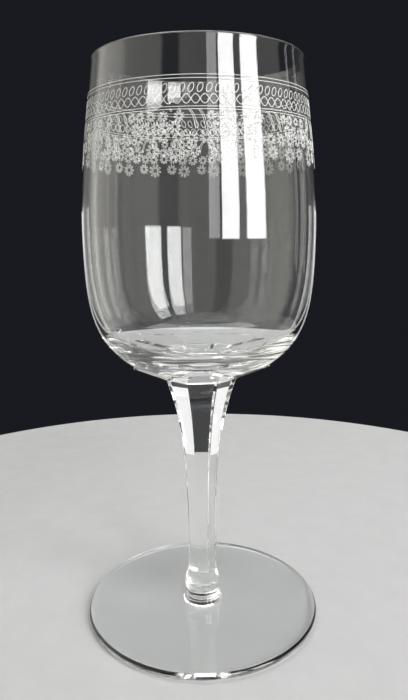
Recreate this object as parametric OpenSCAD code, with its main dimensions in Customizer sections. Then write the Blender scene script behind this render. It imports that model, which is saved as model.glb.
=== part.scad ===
// Wine glass with a faceted stem. A tall rounded bowl with a heavy base is fused to an eight-sided
// stem, and the stem is fused to a thin flat foot. Millimetres, +Z up along the glass's axis.
// The origin is the middle of the foot's underside, on the surface that the glass stands on.

/* [Whole glass] */
// Height from the underside of the foot to the rim
glass_h = 185; // [175:1:195]
// Height of the joint between the stem and the bowl
bowl_z = 85.5; // [80:0.5:90]
// Number of facets round the stem and under the bowl
facets = 8; // [6:1:12]

/* [Bowl] */
// Outer diameter at the rim
rim_d = 64.8; // [62:0.2:68]
// Outer diameter at the widest place
belly_d = 74.6; // [72:0.2:78]
// Height of the widest place above the joint with the stem
belly_rise = 47.5; // [44:0.5:51]
// Wall thickness at the rim
rim_t = 1.0; // [0.8:0.1:1.4]
// Wall thickness at the widest place
belly_t = 1.3; // [1:0.1:1.8]
// Thickness of the solid glass over the joint with the stem
base_t = 7.5; // [6:0.5:9]
// Rise of the facets under the bowl, as height over radius
base_slope = 0.48; // [0.44:0.01:0.52]
// Drop of the round underside below those facets at the joint
base_drop = 1.3; // [0.8:0.1:1.8]

/* [Stem] */
// Width across the flats where the stem meets the bowl
stem_top_w = 23.2; // [21:0.2:25]
// Width across the flats at the narrowest place
waist_w = 9.24; // [8.8:0.04:10]
// Height of the narrowest place
waist_z = 25; // [23:0.5:28]
// Diameter of the round neck under the facets
neck_d = 12.4; // [12:0.1:13]
// Diameter of the stem's flared end on the foot
pad_d = 14.2; // [13.6:0.1:15]

/* [Foot] */
// Diameter of the foot
foot_d = 81.6; // [78:0.2:86]
// Thickness of the foot at its edge
foot_edge_t = 2.4; // [2:0.1:3]
// Thickness of the foot at its middle
foot_mid_t = 2.9; // [2.4:0.1:3.4]

/* [Hidden] */
$fn = 96;
curve_steps = 14;
edge_steps = 8;
round_end_z = 16;
crystal = [0.86, 0.9, 0.9, 0.45];

rim_r = rim_d / 2;
belly_r = belly_d / 2;
stem_top_r = stem_top_w / 2;
waist_r = waist_w / 2;
neck_r = neck_d / 2;
belly_z = bowl_z + belly_rise;
floor_z = bowl_z + base_t;
rim_edge_r = rim_t / 2;
rim_edge_z = glass_h - rim_edge_r;
// Radius of a plain round blank that the stem's corners never reach
blank_r = stem_top_r / cos(180 / facets) + 2;
// Reach of the blocks that cut the facets, well outside the bowl
block_r = belly_r + 10;

// One point of the cubic curve with the four control points c
function curve_point(c, t) =
    pow(1 - t, 3) * c[0] + 3 * t * pow(1 - t, 2) * c[1] + 3 * t * t * (1 - t) * c[2] + pow(t, 3) * c[3];

// The curve as points, from first to last step
function curve(c, first = 0, last = curve_steps) =
    [for (i = [first : last]) curve_point(c, i / curve_steps)];

// Points of an arc in the order from angle a to angle b
function arc(x, z, r, a, b) =
    [for (i = [0 : edge_steps]) let (angle = a + (b - a) * i / edge_steps) [x + r * cos(angle), z + r * sin(angle)]];

// A list in the other order
function reversed(list) = [for (i = [len(list) - 1 : -1 : 0]) list[i]];

// Outside of the bowl, from the underside to the belly and on to the rim
bowl_under = [
    [stem_top_r, bowl_z - base_drop],
    [belly_r - 3.3, bowl_z + 9.8],
    [belly_r, bowl_z + 16],
    [belly_r, belly_z]
];
bowl_side = [
    [belly_r, belly_z],
    [belly_r, belly_z + 17],
    [rim_r + 1.95, glass_h - 17],
    [rim_r, rim_edge_z]
];
// Inside of the bowl, from the middle of its floor to the belly and on to the rim
cup_floor = [
    [0, floor_z],
    [belly_r - 7.3, floor_z],
    [belly_r - belly_t, floor_z + 5],
    [belly_r - belly_t, belly_z]
];
cup_side = [
    [belly_r - belly_t, belly_z],
    [belly_r - belly_t, belly_z + 17],
    [rim_r + 1.95 - rim_t, glass_h - 17],
    [rim_r - rim_t, rim_edge_z]
];
// Middle of a stem facet, from the waist up to the bowl and from the waist down to the neck
stem_flare = [
    [waist_r, waist_z],
    [waist_r + 0.8, waist_z + 25],
    [waist_r + 0.8, bowl_z - 17.5],
    [stem_top_r, bowl_z]
];
stem_scoop = [
    [neck_r + 0.8, waist_z - 17],
    [waist_r + 0.3, waist_z - 13],
    [waist_r, waist_z - 8],
    [waist_r, waist_z]
];
// Flared end of the round neck, down to the foot
neck_flare = [
    [pad_d / 2, foot_mid_t],
    [neck_r + 0.1, foot_mid_t + 0.6],
    [neck_r - 0.1, foot_mid_t + 3],
    [neck_r, foot_mid_t + 7]
];

// Cuts a facet on its child in each direction round the axis. The outline is the middle of one
// facet, from bottom to top, and ends at block_r. What lies outside it is removed
module cut_facets(outline) {
    difference() {
        children();
        for (i = [0 : facets - 1])
            rotate([90, 0, i * 360 / facets])
                linear_extrude(height = 2 * block_r, center = true)
                    polygon(concat(outline, [[block_r, outline[0][1]]]));
    }
}

module bowl() {
    wall = concat(
        [[0, bowl_z - base_drop]],
        curve(bowl_under),
        curve(bowl_side, 1),
        arc(rim_r - rim_edge_r, rim_edge_z, rim_edge_r, 0, 180),
        reversed(concat(curve(cup_floor), curve(cup_side, 1, curve_steps - 1)))
    );
    under_facet = [
        [0, bowl_z - 2 * base_drop],
        [0, bowl_z],
        [stem_top_r, bowl_z],
        [block_r, bowl_z + (block_r - stem_top_r) * base_slope]
    ];
    color(crystal)
        cut_facets(under_facet)
            rotate_extrude() polygon(wall);
}

module stem() {
    blank = concat(
        [[0, foot_mid_t]],
        curve(neck_flare),
        [[neck_r, round_end_z], [blank_r, bowl_z], [0, bowl_z]]
    );
    facet = concat(
        curve(stem_scoop),
        curve(stem_flare, 1),
        [[stem_top_r, bowl_z + 1], [block_r, bowl_z + 1]]
    );
    color(crystal)
        cut_facets(facet)
            rotate_extrude() polygon(blank);
}

module foot() {
    edge_r = foot_edge_t / 2;
    color(crystal)
        rotate_extrude()
            polygon(concat(
                [[0, 0]],
                arc(foot_d / 2 - edge_r, edge_r, edge_r, -90, 90),
                [[pad_d / 2, foot_mid_t], [0, foot_mid_t]]
            ));
}

bowl();
stem();
foot();
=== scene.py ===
"""A stemmed wine glass: blown bowl, cut stem, flat foot, and a band of fine etching below the rim.

The glass and the floor are drawn in millimetres, and mesh_object turns them into metres. The lights and
the camera are placed in metres. The axis of the glass is Z. Angles round it start at +X, and one facet
faces each of +X, +Y, -X and -Y.
"""

import bisect
import math
import random

import bmesh
import bpy
from mathutils import Matrix, Vector


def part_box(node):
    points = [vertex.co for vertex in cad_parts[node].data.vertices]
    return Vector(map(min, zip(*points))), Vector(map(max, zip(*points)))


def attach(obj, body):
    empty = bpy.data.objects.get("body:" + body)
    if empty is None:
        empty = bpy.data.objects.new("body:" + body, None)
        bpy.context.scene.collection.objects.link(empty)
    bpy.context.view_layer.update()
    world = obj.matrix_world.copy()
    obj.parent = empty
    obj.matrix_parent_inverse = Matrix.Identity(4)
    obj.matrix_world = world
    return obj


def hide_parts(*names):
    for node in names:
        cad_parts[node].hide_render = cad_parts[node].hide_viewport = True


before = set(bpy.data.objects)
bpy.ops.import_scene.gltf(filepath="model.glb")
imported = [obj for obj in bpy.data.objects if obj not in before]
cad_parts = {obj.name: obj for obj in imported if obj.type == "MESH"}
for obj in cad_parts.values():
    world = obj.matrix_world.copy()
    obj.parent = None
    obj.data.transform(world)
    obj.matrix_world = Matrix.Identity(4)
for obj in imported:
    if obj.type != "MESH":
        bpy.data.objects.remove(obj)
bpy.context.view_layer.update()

MM = 0.001

# Sizes that come from the CAD frame
GLASS_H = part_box("bowl")[1].z / MM
BELLY_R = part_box("bowl")[1].x / MM
JOINT_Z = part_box("stem")[1].z / MM
PAD_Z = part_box("stem")[0].z / MM
FOOT_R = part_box("foot")[1].x / MM

# Bowl
FACETS = 8
RIM_R = 32.4
RIM_EDGE_R = 0.5
BELLY_Z = JOINT_Z + 47.5
BELLY_T = 1.3
FLOOR_Z = JOINT_Z + 7.5
BASE_SLOPE = 0.48
BASE_DROP = 1.3

# Stem
STEM_TOP_R = 11.6
WAIST_R = 4.62
WAIST_Z = 25
NECK_R = 6.2
PAD_R = 7.1

# Foot, with a slight hollow under all but its outermost HOLLOW_MARGIN
FOOT_EDGE_R = 1.2
FOOT_HOLLOW = 0.35
HOLLOW_MARGIN = 3

# Mesh density: columns round the axis, and steps along each stretch of a profile
FACET_COLUMNS = 40
COLUMNS = FACETS * FACET_COLUMNS
BASE_FACET_STEPS = 12
UNDER_STEPS = 44
SIDE_STEPS = 40
RIM_STEPS = 12
NECK_STEPS = 24
SCOOP_STEPS = 30
FLARE_STEPS = 60
HOLLOW_STEPS = 20
FOOT_EDGE_STEPS = 16
FOOT_TOP_STEPS = 24
# Height of the narrow ring beside a cut edge, which keeps the edge crisp
EDGE_ZONE = 0.12

# Etched band. A stroke is a ridge that starts LIFT outside the wall and stands RELIEF above that
UPPER_LINES = (174.2, 173.3)
CHAIN_Z = 170.9
BRAID_Z = 168.1
LOWER_LINES = (166.2, 165.5)
LINE_W = 0.16
LIFT = 0.005
RELIEF = 0.04
# Radius at which the wall is unrolled to draw on it, and the length once round it
ETCH_R = 34.5
AROUND = 2 * math.pi * ETCH_R
# Closely spaced points that stand for the wall's curve
WALL_STEPS = 160

# Chain of ovals and the braid below it, which has a crossing for each oval
LINKS = 90
LINK_HALF_W = 0.72
LINK_HALF_H = 1.15
LINK_LEAN = 0.3
LINK_STEPS = 14
BRAID_HALF_H = 1.2
BRAID_STEPS = 8
CHAIN_LINE_W = 0.2

# Daisy, as shares of its size: radius of the ring, then middle, half length and half width of a petal
PETALS = 9
RING_R = 0.215
PETAL_MIDDLE = 0.385
PETAL_HALF_L = 0.12
PETAL_HALF_W = 0.06
RING_STEPS = 10
PETAL_STEPS = 8

# Hanging bunches. A drop is the distance below the lower lines, and a place is a share of a bunch's width.
# Each row of daisies has a drop, a size and places. Every second bunch has an opening at its top middle
BUNCHES = 20
BUNCH_TURN = -94
TOP_ROWS = [(1.8, 2.6, (-0.4, -0.1, 0.2)), (4.4, 2.9, (-0.5, -0.24, 0.05, 0.28))]
OPEN_TOP_ROWS = [(1.8, 2.6, (-0.4, 0.36)), (4.4, 2.9, (-0.5,))]
HANGING_ROWS = [(7.0, 3.2, (-0.4, -0.08, 0.24)), (10.3, 3.6, (-0.05,)), (10.8, 4.3, (-0.45,))]
OPENING_DROP = 6
OPENING_HALF_W = 0.3
# How far a daisy strays to either side and up or down, how its size varies, and the most that it is turned
STRAY_U = 0.15
STRAY_Z = 0.2
SIZE_RANGE = (0.93, 1.05)
DAISY_SPIN = 0.6
LEAF_L = 1.0
LEAF_STRAY_U = 0.5
LEAF_DROPS = (0.6, 3.2, 6.0)
LEAF_PLACES = (-0.42, -0.17, 0.16, 0.42)
# Outline of a leaf, as shares of its length
LEAF_OUTLINE = [(0, 0), (0.3, 0.17), (0.65, 0.15), (1, 0), (0.65, -0.15), (0.3, -0.17)]
# Where the stalks in an opening start, in millimetres from the bunch's middle, and the curve that each
# follows, as distances to the side and down
STALK_STARTS = (-1.9, -1.4, 0.6, 1.1)
STALK_CURVE = [(0, 0), (1.2, 1.2), (1.6, 2.8), (1.9, 5)]
STALK_STEPS = 10

# Floor
FLOOR_R = 230
FLOOR_GAP = 0.3
FLOOR_T = 12

# Camera. It stands this many degrees to the left of the middle of the facet that faces -Y
CAMERA_TURN = 3.0
# Its distance from the axis and its height, as shares of the height of the glass
CAMERA_DISTANCE = 1.1222
CAMERA_HEIGHT = 0.7424
# How far it points down and to the right of the axis, and how far it leans clockwise, in degrees
CAMERA_PITCH = 11.685
CAMERA_YAW = 0.335
CAMERA_ROLL = 0.505
CAMERA_LENS = 32.45

# The room: a direction, in degrees to the right of the camera, and how bright the room is there
ROOM = [
    (-158, 0.01), (-148, 0.12), (-132, 0.25), (-122, 1.2), (-88, 1.4), (-78, 0.85),
    (-40, 0.85), (-36, 0.12), (-21, 0.12), (-17, 0.65), (3, 0.6), (64, 0.6),
    (93, 0.45), (96, 0.05), (130, 0.05), (148, 0.06), (158, 0.01),
]


# ---------------------------------------------------------------- curves

def bezier(controls, t):
    """The point at t on the cubic curve with four control points."""
    s = 1 - t
    return tuple(s**3 * a + 3 * t * s * s * b + 3 * t * t * s * c + t**3 * d for a, b, c, d in zip(*controls))


def bezier_points(controls, steps, first=0):
    return [bezier(controls, i / steps) for i in range(first, steps + 1)]


def root(f, a, b):
    """Where f is zero between a and b, which it passes once."""
    rising = f(b) > f(a)
    for _ in range(40):
        middle = (a + b) / 2
        if (f(middle) > 0) == rising:
            b = middle
        else:
            a = middle
    return (a + b) / 2


def radius_at(controls, z):
    """The radius at height z on a cubic curve that rises all the way."""
    return bezier(controls, root(lambda t: bezier(controls, t)[1] - z, 0, 1))[0]


def spread(a, b, steps, ease=1.0):
    """Numbers from just after a to b, closer together near a when ease is over 1."""
    return [a + (b - a) * (i / steps) ** ease for i in range(1, steps + 1)]


def arc(r, z, radius, a, b, steps):
    """Points of an arc about (r, z) from angle a to angle b in degrees, without its two ends."""
    turns = [math.radians(a + (b - a) * i / steps) for i in range(1, steps)]
    return [(r + radius * math.cos(t), z + radius * math.sin(t)) for t in turns]


# Profiles as radius and height, the same curves as in the CAD model
bowl_under = [
    (STEM_TOP_R, JOINT_Z - BASE_DROP),
    (BELLY_R - 3.3, JOINT_Z + 9.8),
    (BELLY_R, JOINT_Z + 16),
    (BELLY_R, BELLY_Z),
]
bowl_side = [
    (BELLY_R, BELLY_Z),
    (BELLY_R, BELLY_Z + 17),
    (RIM_R + 1.95, GLASS_H - 17),
    (RIM_R, GLASS_H - RIM_EDGE_R),
]
cup_floor = [
    (0, FLOOR_Z),
    (BELLY_R - 7.3, FLOOR_Z),
    (BELLY_R - BELLY_T, FLOOR_Z + 5),
    (BELLY_R - BELLY_T, BELLY_Z),
]
cup_side = [
    (BELLY_R - BELLY_T, BELLY_Z),
    (BELLY_R - BELLY_T, BELLY_Z + 17),
    (RIM_R + 0.95, GLASS_H - 17),
    (RIM_R - 2 * RIM_EDGE_R, GLASS_H - RIM_EDGE_R),
]
stem_flare = [
    (WAIST_R, WAIST_Z),
    (WAIST_R + 0.8, WAIST_Z + 25),
    (WAIST_R + 0.8, JOINT_Z - 17.5),
    (STEM_TOP_R, JOINT_Z),
]
stem_scoop = [
    (NECK_R + 0.8, WAIST_Z - 17),
    (WAIST_R + 0.3, WAIST_Z - 13),
    (WAIST_R, WAIST_Z - 8),
    (WAIST_R, WAIST_Z),
]
neck_flare = [
    (PAD_R, PAD_Z),
    (NECK_R + 0.1, PAD_Z + 0.6),
    (NECK_R - 0.1, PAD_Z + 3),
    (NECK_R, PAD_Z + 7),
]


# ---------------------------------------------------------------- meshes

def mesh_object(name, bm, materials):
    """An object in the scene from a bmesh in millimetres, which is freed."""
    bmesh.ops.scale(bm, vec=(MM, MM, MM), verts=bm.verts)
    mesh = bpy.data.meshes.new(name)
    bm.to_mesh(mesh)
    bm.free()
    for material in materials:
        mesh.materials.append(material)
    made = bpy.data.objects.new(name, mesh)
    bpy.context.scene.collection.objects.link(made)
    return made


def glass_piece(name, bm, materials, node=None):
    """A piece of the glass, which stands for the CAD node if one is given."""
    piece = mesh_object(name, bm, materials)
    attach(piece, "root")
    if node:
        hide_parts(node)


def skin(column, bottom_z, top_z, bottom_joint, top_joint):
    """A closed skin round the axis, as a bmesh. column(angle from the middle of the nearest facet) gives
    its points from one end to the other. The axis points at bottom_z and top_z close its two ends, and
    material 1 covers an end that is fused to the next piece of glass."""
    bm = bmesh.new()
    half = 180 / FACETS
    step = 360 / COLUMNS
    outlines = [column(math.radians(i * step - half)) for i in range(FACET_COLUMNS)]
    columns = []
    for j in range(COLUMNS):
        angle = math.radians(j * step - half)
        c, s = math.cos(angle), math.sin(angle)
        columns.append([bm.verts.new((r * c, r * s, z)) for r, z in outlines[j % FACET_COLUMNS]])
    start = bm.verts.new((0, 0, bottom_z))
    end = bm.verts.new((0, 0, top_z))
    for j in range(COLUMNS):
        a, b = columns[j - 1], columns[j]
        bm.faces.new((start, b[0], a[0])).material_index = int(bottom_joint)
        bm.faces.new((end, a[-1], b[-1])).material_index = int(top_joint)
        for k in range(len(a) - 1):
            bm.faces.new((a[k], b[k], b[k + 1], a[k + 1]))
    for face in bm.faces:
        face.smooth = True
    for edge in bm.edges:
        edge.smooth = len({face.material_index for face in edge.link_faces}) == 1
    return bm


def base_facet(z):
    """Distance from the axis to a facet under the bowl."""
    return STEM_TOP_R + (z - JOINT_Z) / BASE_SLOPE


def bowl_column(angle):
    """From the joint along a facet and up the outside, over the rim and down the inside."""
    near = math.cos(angle)

    def past_facet(t):
        r, z = bezier(bowl_under, t)
        return r * near - base_facet(z)

    # The facet ends where the round underside comes back inside it, well away from both ends of the curve
    meet = root(past_facet, 0.2, 0.9)
    edge_z = bezier(bowl_under, meet)[1]
    facet_z = [JOINT_Z] + spread(JOINT_Z, edge_z - EDGE_ZONE, BASE_FACET_STEPS) + [edge_z]
    points = [(base_facet(z) / near, z) for z in facet_z]
    points += [bezier(bowl_under, t) for t in spread(meet, 1, UNDER_STEPS, 1.5)]
    points += bezier_points(bowl_side, SIDE_STEPS, 1)
    points += arc(RIM_R - RIM_EDGE_R, GLASS_H - RIM_EDGE_R, RIM_EDGE_R, 0, 180, RIM_STEPS)
    points += bezier_points(cup_side, SIDE_STEPS)[::-1]
    points += bezier_points(cup_floor, UNDER_STEPS, 1)[-2::-1]
    return points


def stem_facet(z):
    """Distance from the axis to a facet of the stem."""
    return radius_at(stem_flare if z > WAIST_Z else stem_scoop, z)


def stem_round(z):
    """Radius of the round neck."""
    return radius_at(neck_flare, z) if z < neck_flare[-1][1] else NECK_R


def stem_column(angle):
    """From the foot up the round neck and along a facet to the bowl."""
    near = math.cos(angle)
    # The facet runs out into the round neck between these two heights
    edge_z = root(lambda z: stem_facet(z) / near - stem_round(z), WAIST_Z - 16.5, WAIST_Z - 11)
    round_z = [PAD_Z] + spread(PAD_Z, edge_z - EDGE_ZONE, NECK_STEPS) + [edge_z]
    facet_z = [edge_z + EDGE_ZONE] + spread(edge_z + EDGE_ZONE, WAIST_Z, SCOOP_STEPS, 1.3)
    facet_z += spread(WAIST_Z, JOINT_Z, FLARE_STEPS)
    return [(stem_round(z), z) for z in round_z] + [(stem_facet(z) / near, z) for z in facet_z]


def foot_column(_):
    """From the middle of the slightly hollow underside, round the edge and over the top to the stem."""
    flat_r = FOOT_R - FOOT_EDGE_R
    hollow_r = flat_r - HOLLOW_MARGIN
    edge_z = 2 * FOOT_EDGE_R
    points = [(hollow_r * u, FOOT_HOLLOW * (1 - u * u) ** 2) for u in spread(0, 1, HOLLOW_STEPS)]
    points += [(flat_r, 0)]
    points += arc(flat_r, FOOT_EDGE_R, FOOT_EDGE_R, -90, 90, FOOT_EDGE_STEPS)
    points += [(flat_r, edge_z)]
    points += zip(spread(flat_r, PAD_R, FOOT_TOP_STEPS), spread(edge_z, PAD_Z, FOOT_TOP_STEPS))
    return points


# ---------------------------------------------------------------- etching

# The outer wall above the belly, and the height of each of its points
wall = bezier_points(bowl_side, WALL_STEPS)
wall_heights = [z for _, z in wall]


def on_wall(u, z, outside, turn):
    """The place of a point on the unrolled wall, where u goes round the bowl at ETCH_R and z goes up. It
    lies outside the wall by the distance given, and is turned round the axis."""
    i = min(bisect.bisect_left(wall_heights, z), len(wall) - 1)
    (r0, z0), (r1, z1) = wall[i - 1], wall[i]
    r = r0 + (r1 - r0) * (z - z0) / (z1 - z0) + outside
    angle = turn + u / ETCH_R
    return r * math.cos(angle), r * math.sin(angle), z


def oval(u, z, half_w, half_h, steps, lean=0.0):
    """A closed stroke for an oval."""
    turns = [2 * math.pi * i / steps for i in range(steps)]
    return [(u + half_w * math.cos(t) + lean * half_h * math.sin(t), z + half_h * math.sin(t)) for t in turns]


def turned(outline, u, z, turn):
    """An outline turned about its own origin, which is then moved to (u, z)."""
    c, s = math.cos(turn), math.sin(turn)
    return [(u + a * c - b * s, z + a * s + b * c) for a, b in outline]


def daisy(u, z, size, spin):
    """Closed strokes for an open flower: a ring with a loop for each petal, which don't touch."""
    petal = oval(PETAL_MIDDLE * size, 0, PETAL_HALF_L * size, PETAL_HALF_W * size, PETAL_STEPS)
    petals = [turned(petal, u, z, spin + 2 * math.pi * i / PETALS) for i in range(PETALS)]
    return [oval(u, z, RING_R * size, RING_R * size, RING_STEPS)] + petals


def leaf(u, z, turn):
    """A closed stroke for a small pointed leaf that grows from (u, z)."""
    return turned([(LEAF_L * a, LEAF_L * b) for a, b in LEAF_OUTLINE], u, z, turn)


def braid_strand(side):
    """A closed stroke for one of the braid's two strands. side is 1 or -1."""
    count = BRAID_STEPS * LINKS
    swing = side * BRAID_HALF_H
    return [(AROUND * i / count, BRAID_Z + swing * math.sin(math.pi * i / BRAID_STEPS)) for i in range(count)]


def bunch(opening):
    """Closed and open strokes for one hanging bunch of daisies, with leaves between the flowers. With an
    opening, curved stalks stand in for the flowers at its top middle."""
    chance = random.Random(5)
    width = AROUND / BUNCHES
    top = LOWER_LINES[1]
    closed = []
    for drop, size, places in (OPEN_TOP_ROWS if opening else TOP_ROWS) + HANGING_ROWS:
        for share in places:
            u = share * width + chance.uniform(-STRAY_U, STRAY_U)
            z = top - drop + chance.uniform(-STRAY_Z, STRAY_Z)
            closed += daisy(u, z, size * chance.uniform(*SIZE_RANGE), chance.uniform(0, DAISY_SPIN))
    for drop in LEAF_DROPS:
        for share in LEAF_PLACES:
            if not (opening and drop < OPENING_DROP and abs(share) < OPENING_HALF_W):
                turn = chance.uniform(0, 2 * math.pi)
                u = share * width + chance.uniform(-LEAF_STRAY_U, LEAF_STRAY_U)
                closed.append(leaf(u, top - drop, turn))
    opened = []
    if opening:
        for start in STALK_STARTS:
            opened.append(bezier_points([(start + a, top - b) for a, b in STALK_CURVE], STALK_STEPS))
    return closed, opened


def ridge_corners(stroke, i, shut, line_w):
    """The three corners of a ridge across point i of a stroke, each as u, z and distance outside the wall."""
    u, z = stroke[i]
    before = stroke[i - 1] if shut or i > 0 else stroke[0]
    after = stroke[(i + 1) % len(stroke)] if shut or i < len(stroke) - 1 else stroke[-1]
    du = math.remainder(after[0] - before[0], AROUND)
    dz = after[1] - before[1]
    half = line_w / 2 / math.hypot(du, dz)
    left = (u - dz * half, z + du * half, LIFT)
    right = (u + dz * half, z - du * half, LIFT)
    return left, (u, z, LIFT + RELIEF), right


def add_ridge(bm, stroke, shut, line_w, turn):
    """Adds a stroke to bm as a closed ridge on the wall."""
    sections = []
    for i in range(len(stroke)):
        corners = ridge_corners(stroke, i, shut, line_w)
        sections.append([bm.verts.new(on_wall(*corner, turn)) for corner in corners])
    for i in range(0 if shut else 1, len(sections)):
        a, b = sections[i - 1], sections[i]
        for j in range(3):
            bm.faces.new((a[j - 1], a[j], b[j], b[j - 1]))
    if not shut:
        bm.faces.new(sections[0][::-1])
        bm.faces.new(sections[-1])


def etched(name, closed, opened, repeats, first_turn, line_w, material):
    """A piece of etching from closed and open strokes, repeated round the bowl from first_turn on."""
    bm = bmesh.new()
    for k in range(repeats):
        turn = math.radians(first_turn + 360 * k / repeats)
        for stroke in closed:
            add_ridge(bm, stroke, True, line_w, turn)
        for stroke in opened:
            add_ridge(bm, stroke, False, line_w, turn)
    glass_piece(name, bm, [material])


def make_etching():
    frost = frosting()
    rings = [[(AROUND * i / COLUMNS, z) for i in range(COLUMNS)] for z in UPPER_LINES + LOWER_LINES]
    link = oval(0, CHAIN_Z, LINK_HALF_W, LINK_HALF_H, LINK_STEPS, LINK_LEAN)
    etched("etched_lines", rings, [], 1, 0, LINE_W, frost)
    etched("etched_chain", [link], [], LINKS, 0, CHAIN_LINE_W, frost)
    etched("etched_braid", [braid_strand(-1), braid_strand(1)], [], 1, 0, CHAIN_LINE_W, frost)
    etched("etched_garlands", *bunch(False), BUNCHES // 2, BUNCH_TURN + 360 / BUNCHES, LINE_W, frost)
    etched("etched_open_garlands", *bunch(True), BUNCHES // 2, BUNCH_TURN, LINE_W, frost)


# ---------------------------------------------------------------- materials

def new_material(name):
    """A material, with its node tree and its Principled node."""
    material = bpy.data.materials.new(name)
    material.use_nodes = True
    tree = material.node_tree
    return material, tree, tree.nodes["Principled BSDF"]


def noise(tree, scale, detail=2.0):
    """A noise pattern whose features are about 1 / scale metres apart."""
    place = tree.nodes.new("ShaderNodeTexCoord")
    node = tree.nodes.new("ShaderNodeTexNoise")
    node.inputs["Scale"].default_value = scale
    node.inputs["Detail"].default_value = detail
    tree.links.new(place.outputs["Object"], node.inputs["Vector"])
    return node.outputs["Fac"]


def colours(tree, factor, low, high, start=0.3, end=0.7):
    """Colours from low to high as factor goes from start to end."""
    node = tree.nodes.new("ShaderNodeValToRGB")
    first, last = node.color_ramp.elements
    first.position, first.color = start, (*low, 1)
    last.position, last.color = end, (*high, 1)
    tree.links.new(factor, node.inputs["Fac"])
    return node.outputs["Color"]


def greys(tree, factor, low, high, start=0.3, end=0.7):
    """Greys from low to high as factor goes from start to end."""
    return colours(tree, factor, (low,) * 3, (high,) * 3, start, end)


def crystal(name, ripple):
    """Clear crystal. ripple is the depth of its slow surface waves, in metres."""
    material, tree, glass = new_material(name)
    glass.inputs["Transmission Weight"].default_value = 1
    glass.inputs["IOR"].default_value = 1.52
    tint = colours(tree, noise(tree, 60), (0.975, 0.985, 0.98), (0.99, 0.993, 0.99))
    tree.links.new(tint, glass.inputs["Base Color"])
    wear = greys(tree, noise(tree, 900, 6), 0, 0.012, 0.45, 0.75)
    tree.links.new(wear, glass.inputs["Roughness"])
    bump = tree.nodes.new("ShaderNodeBump")
    bump.inputs["Distance"].default_value = ripple
    tree.links.new(noise(tree, 45, 1), bump.inputs["Height"])
    tree.links.new(bump.outputs["Normal"], glass.inputs["Normal"])
    return material


def fused_joint():
    """Where two pieces of glass are fused there is no surface, so light goes straight through."""
    material, tree, principled = new_material("fused_joint")
    tree.nodes.remove(principled)
    clear = tree.nodes.new("ShaderNodeBsdfTransparent")
    tree.links.new(clear.outputs[0], tree.nodes["Material Output"].inputs["Surface"])
    return material


def frosting():
    """Fine grey-white frosting, a little see-through."""
    material, tree, frost = new_material("etched_frost")
    grain = noise(tree, 9000, 3)
    tree.links.new(colours(tree, grain, (0.5, 0.51, 0.5), (0.7, 0.71, 0.69)), frost.inputs["Base Color"])
    tree.links.new(greys(tree, grain, 0.55, 0.8), frost.inputs["Roughness"])
    tree.links.new(greys(tree, noise(tree, 1500, 2), 0.65, 0.9), frost.inputs["Alpha"])
    return material


def pale_floor():
    """Matt pale grey paint, a little uneven."""
    material, tree, paint = new_material("pale_floor")
    paint.inputs["Specular IOR Level"].default_value = 0.25
    shade = colours(tree, noise(tree, 90, 8), (0.41, 0.415, 0.42), (0.43, 0.435, 0.44))
    tree.links.new(shade, paint.inputs["Base Color"])
    tree.links.new(greys(tree, noise(tree, 400, 4), 0.65, 0.8), paint.inputs["Roughness"])
    return material


# ---------------------------------------------------------------- the glass

def make_glass():
    """The bowl and the foot are blown, with deeper ripples than the cut and polished stem."""
    joint = fused_joint()
    blown = crystal("blown_crystal", 0.02 * MM)
    cut = crystal("cut_crystal", 0.006 * MM)
    bowl = skin(bowl_column, JOINT_Z, FLOOR_Z, True, False)
    stem = skin(stem_column, PAD_Z, JOINT_Z, True, True)
    foot = skin(foot_column, FOOT_HOLLOW, PAD_Z, False, True)
    glass_piece("bowl_glass", bowl, [blown, joint], "bowl")
    glass_piece("stem_glass", stem, [cut, joint], "stem")
    glass_piece("foot_glass", foot, [blown, joint], "foot")


# ---------------------------------------------------------------- the studio

def make_floor():
    """A round pale table top that ends a little behind the glass, so that the bowl stands before the dark."""
    bm = bmesh.new()
    bmesh.ops.create_cone(bm, cap_ends=True, segments=256, radius1=FLOOR_R, radius2=FLOOR_R, depth=FLOOR_T)
    bmesh.ops.translate(bm, vec=(0, 0, -FLOOR_GAP - FLOOR_T / 2), verts=bm.verts)
    mesh_object("floor", bm, [pale_floor()])


def softbox(name, place, aim, width, height, radiance, seen=False):
    """A soft rectangle of light at place that faces aim. The camera itself sees it only if seen is true."""
    lamp = bpy.data.lights.new(name, "AREA")
    lamp.shape = "RECTANGLE"
    lamp.size, lamp.size_y = width, height
    lamp.energy = radiance * math.pi * width * height
    holder = bpy.data.objects.new(name, lamp)
    holder.location = place
    holder.rotation_euler = (Vector(aim) - Vector(place)).to_track_quat("-Z", "Y").to_euler()
    holder.visible_camera = seen
    bpy.context.scene.collection.objects.link(holder)


def panel(name, turn, low, high, distance, width, radiance, seen=False):
    """An upright softbox that faces the axis. turn is its direction from the glass, in degrees to the
    right of the camera, and low and high are the heights of its edges."""
    angle = math.radians(turn - CAMERA_TURN)
    middle = (low + high) / 2
    place = (distance * math.sin(angle), -distance * math.cos(angle), middle)
    softbox(name, place, (0, 0, middle), width, high - low, radiance, seen)


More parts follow.
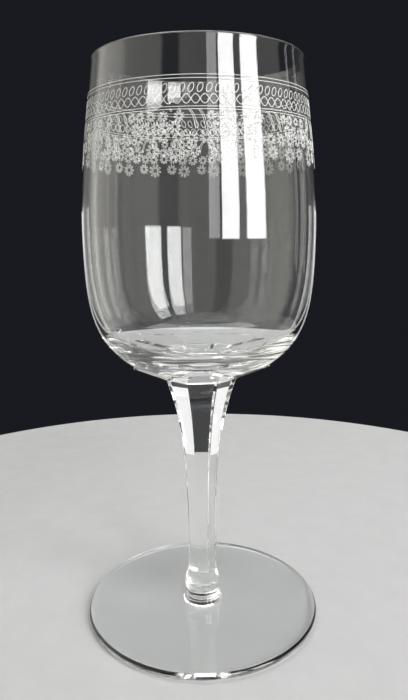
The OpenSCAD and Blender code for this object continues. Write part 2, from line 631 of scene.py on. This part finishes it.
def make_lights():
    """Two window panes and a curtain to the right of the camera, strips at the right side, two low cards
    behind the glass that light up its cut facets, and softboxes overhead and high behind."""
    window = {"low": 0.1, "high": 1.0, "distance": 1.0, "radiance": 12, "seen": True}
    strip = {"low": 0.0, "high": 0.9, "distance": 1.0, "width": 0.03}
    card = {"low": -0.15, "high": 0.15, "distance": 0.45, "width": 0.08, "radiance": 0.9}
    panel("window_left_pane", turn=29, width=0.28, **window)
    panel("window_right_pane", turn=54, width=0.34, **window)
    panel("curtain", turn=14, low=0.1, high=1.0, distance=1.05, width=0.18, radiance=2.5, seen=True)
    panel("right_strip", turn=105, radiance=1.5, **strip)
    panel("far_right_strip", turn=120, radiance=0.9, **strip)
    panel("left_card", turn=-151, **card)
    panel("right_card", turn=151, **card)
    softbox("top_softbox", place=(0, -0.1, 1.1), aim=(0, -0.1, 0), width=0.8, height=0.8, radiance=0.8)
    softbox("back_softbox", place=(0, 0.5, 0.95), aim=(0, 0, 0), width=0.8, height=0.4, radiance=3.5)


def make_world():
    """The room as a ring of brighter and darker walls round the glass, from floor to ceiling."""
    world = bpy.data.worlds.new("studio")
    bpy.context.scene.world = world
    world.use_nodes = True
    tree = world.node_tree
    place = tree.nodes.new("ShaderNodeTexCoord")
    split = tree.nodes.new("ShaderNodeSeparateXYZ")
    tree.links.new(place.outputs["Generated"], split.inputs[0])
    ahead = tree.nodes.new("ShaderNodeMath")
    ahead.operation = "MULTIPLY"
    ahead.inputs[1].default_value = -1
    tree.links.new(split.outputs["Y"], ahead.inputs[0])
    angle = tree.nodes.new("ShaderNodeMath")
    angle.operation = "ARCTAN2"
    tree.links.new(split.outputs["X"], angle.inputs[0])
    tree.links.new(ahead.outputs[0], angle.inputs[1])
    share = tree.nodes.new("ShaderNodeMapRange")
    share.inputs["From Min"].default_value = -math.pi
    share.inputs["From Max"].default_value = math.pi
    tree.links.new(angle.outputs[0], share.inputs["Value"])
    walls = tree.nodes.new("ShaderNodeValToRGB")
    stops = walls.color_ramp.elements
    while len(stops) < len(ROOM):
        stops.new(0.5)
    for stop, (turn, grey) in zip(stops, ROOM):
        stop.position = 0.5 + (turn - CAMERA_TURN) / 360
        # Bright walls are slightly warm and dark ones slightly blue
        stop.color = (grey, 0.98 * grey + 0.001, 0.9 * grey + 0.006, 1)
    tree.links.new(share.outputs[0], walls.inputs["Fac"])
    tree.links.new(walls.outputs["Color"], tree.nodes["Background"].inputs["Color"])


def make_camera():
    """A portrait view from just above the belly of the bowl, looking down a little."""
    distance, height = CAMERA_DISTANCE * GLASS_H * MM, CAMERA_HEIGHT * GLASS_H * MM
    turn, pitch, yaw, roll = (math.radians(v) for v in (CAMERA_TURN, CAMERA_PITCH, CAMERA_YAW, CAMERA_ROLL))
    ahead = Vector((math.sin(turn + yaw), math.cos(turn + yaw), 0))
    right = Vector((ahead.y, -ahead.x, 0))
    forward = ahead * math.cos(pitch) - Vector((0, 0, math.sin(pitch)))
    up = ahead * math.sin(pitch) + Vector((0, 0, math.cos(pitch)))
    leaning_right = right * math.cos(roll) - up * math.sin(roll)
    leaning_up = right * math.sin(roll) + up * math.cos(roll)
    aimed = Matrix((leaning_right, leaning_up, -forward)).transposed()
    place = Vector((-distance * math.sin(turn), -distance * math.cos(turn), height))
    camera = bpy.data.cameras.new("camera")
    camera.lens = CAMERA_LENS
    camera.clip_start = 0.01
    holder = bpy.data.objects.new("camera", camera)
    holder.matrix_world = Matrix.Translation(place) @ aimed.to_4x4()
    bpy.context.scene.collection.objects.link(holder)
    bpy.context.scene.camera = holder


def set_render():
    """Enough bounces for light to cross every wall of the glass. blur_glossy would darken the floor that
    is seen through the foot, so it is off."""
    scene = bpy.context.scene
    scene.view_settings.view_transform = "Standard"
    scene.cycles.blur_glossy = 0
    scene.cycles.use_denoising = True
    scene.cycles.max_bounces = 24
    scene.cycles.transmission_bounces = 24
    scene.cycles.glossy_bounces = 16
    scene.cycles.transparent_max_bounces = 32


make_glass()
make_etching()
make_floor()
make_lights()
make_world()
make_camera()
set_render()
